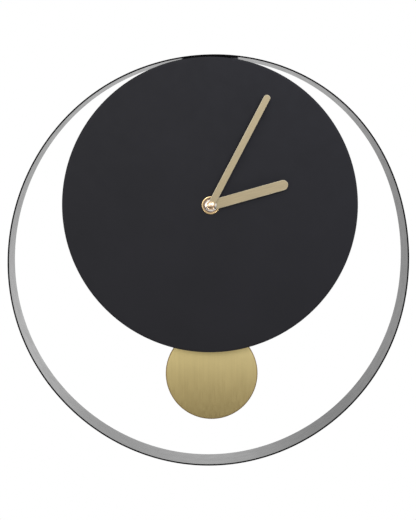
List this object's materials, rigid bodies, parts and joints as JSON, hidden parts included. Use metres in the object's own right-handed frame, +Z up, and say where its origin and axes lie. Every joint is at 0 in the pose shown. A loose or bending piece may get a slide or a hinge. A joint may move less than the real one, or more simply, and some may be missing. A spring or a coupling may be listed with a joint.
{
  "type": "pendulum wall clock",
  "caption": "Wall clock: black disc dial in the top of a deep steel hoop, gold baton hands, brass disc pendulum swinging behind the dial, quartz movement.",
  "frame": {"origin": "centre of the wall screw's shank at the top of the keyhole, in the plane of the wall", "axes": "+X right and +Z up as the clock is read, +Y into the wall"},
  "size_m": [0.4028, 0.0582, 0.4134],
  "materials": {
    "black_steel": "satin black powder coat",
    "gold_hand": "brushed gold anodised",
    "brass": "bright",
    "bob_brass": "vertically brushed",
    "steel": "plated",
    "case_plastic": "fine texture",
    "wheel_plastic": "moulded",
    "grey_plastic": "moulded",
    "rubber": "matt",
    "copper": "enamelled copper wire",
    "circuit": "solder mask",
    "magnet": "sintered",
    "cell_jacket": "printed sleeve, left plain"
  },
  "bodies": {
    "frame": {"ring_band": "black_steel", "dial_plate": "black_steel", "hanger_plate": "black_steel", "ring_bracket_left": "black_steel", "dial_stud_left": "steel", "stud_nut_left": "steel", "ring_bracket_right": "black_steel", "dial_stud_right": "steel", "stud_nut_right": "steel", "movement_case": "case_plastic", "middle_plate": "wheel_plastic", "rear_plate": "wheel_plastic", "movement_cover": "case_plastic", "cover_screw_1": "steel", "cover_screw_2": "steel", "cover_screw_3": "steel", "cover_screw_4": "steel", "threaded_bush": "brass", "rubber_washer": "rubber", "brass_washer": "brass", "hex_nut": "brass", "battery_cell": "cell_jacket", "battery_contact_positive": "steel", "battery_contact_negative": "steel", "circuit_board": "circuit", "quartz_crystal": "steel", "timing_chip": "case_plastic", "motor_stator": "steel", "motor_coil": "copper", "pendulum_pod": "case_plastic", "pod_screw_left": "steel", "pod_screw_right": "steel", "pivot_pin": "steel", "drive_coil": "copper"},
    "minute_hand_and_centre_wheel": {"minute_hand": "gold_hand", "minute_collet": "brass", "hand_cap_nut": "brass", "centre_wheel": "steel"},
    "hour_hand_and_wheel": {"hour_hand": "gold_hand", "hour_collet": "brass", "hour_wheel": "wheel_plastic"},
    "setting_arbor": {"motion_wheel": "wheel_plastic", "setting_knob": "grey_plastic"},
    "third_arbor": {"third_wheel": "wheel_plastic"},
    "seconds_arbor": {"seconds_wheel": "wheel_plastic"},
    "intermediate_arbor": {"intermediate_wheel": "wheel_plastic"},
    "rotor": {"rotor_pinion": "wheel_plastic", "rotor_magnet": "magnet"},
    "pendulum": {"swing_arm": "grey_plastic", "arm_magnet": "magnet", "pendulum_rod": "brass", "pendulum_bob": "bob_brass", "bob_clip_upper": "steel", "bob_clip_lower": "steel"}
  },
  "joints": [
    {"name": "minute_hand_turn", "type": "hinge", "parent": "frame", "child": "minute_hand_and_centre_wheel", "pos_m": [0, -0.047, -0.128], "axis": [0, 1, 0], "continuous": true},
    {"name": "hour_hand_turn", "type": "hinge", "parent": "frame", "child": "hour_hand_and_wheel", "pos_m": [0, -0.047, -0.128], "axis": [0, 1, 0], "continuous": true},
    {"name": "setting_knob_turn", "type": "hinge", "parent": "frame", "child": "setting_arbor", "pos_m": [-0.0112, -0.047, -0.128], "axis": [0, 1, 0], "continuous": true},
    {"name": "third_wheel_turn", "type": "hinge", "parent": "frame", "child": "third_arbor", "pos_m": [-0.00164, -0.047, -0.11869], "axis": [0, 1, 0], "continuous": true},
    {"name": "seconds_wheel_turn", "type": "hinge", "parent": "frame", "child": "seconds_arbor", "pos_m": [0.00543, -0.047, -0.11461], "axis": [0, 1, 0], "continuous": true},
    {"name": "intermediate_wheel_turn", "type": "hinge", "parent": "frame", "child": "intermediate_arbor", "pos_m": [0.01219, -0.047, -0.11708], "axis": [0, 1, 0], "continuous": true},
    {"name": "rotor_turn", "type": "hinge", "parent": "frame", "child": "rotor", "pos_m": [0.01329, -0.047, -0.11087], "axis": [0, 1, 0], "continuous": true},
    {"name": "pendulum_swing", "type": "hinge", "parent": "frame", "child": "pendulum", "pos_m": [0.0014, -0.022, -0.1], "axis": [0, 1, 0], "range_deg": [-8, 8]}
  ],
  "couplings": [
    {"joint": "hour_hand_turn", "follows": "minute_hand_turn", "ratio": 0.083333},
    {"joint": "setting_knob_turn", "follows": "minute_hand_turn", "ratio": -0.33333},
    {"joint": "third_wheel_turn", "follows": "minute_hand_turn", "ratio": -8},
    {"joint": "seconds_wheel_turn", "follows": "minute_hand_turn", "ratio": 60},
    {"joint": "intermediate_wheel_turn", "follows": "minute_hand_turn", "ratio": -300},
    {"joint": "rotor_turn", "follows": "minute_hand_turn", "ratio": 1800}
  ]
}
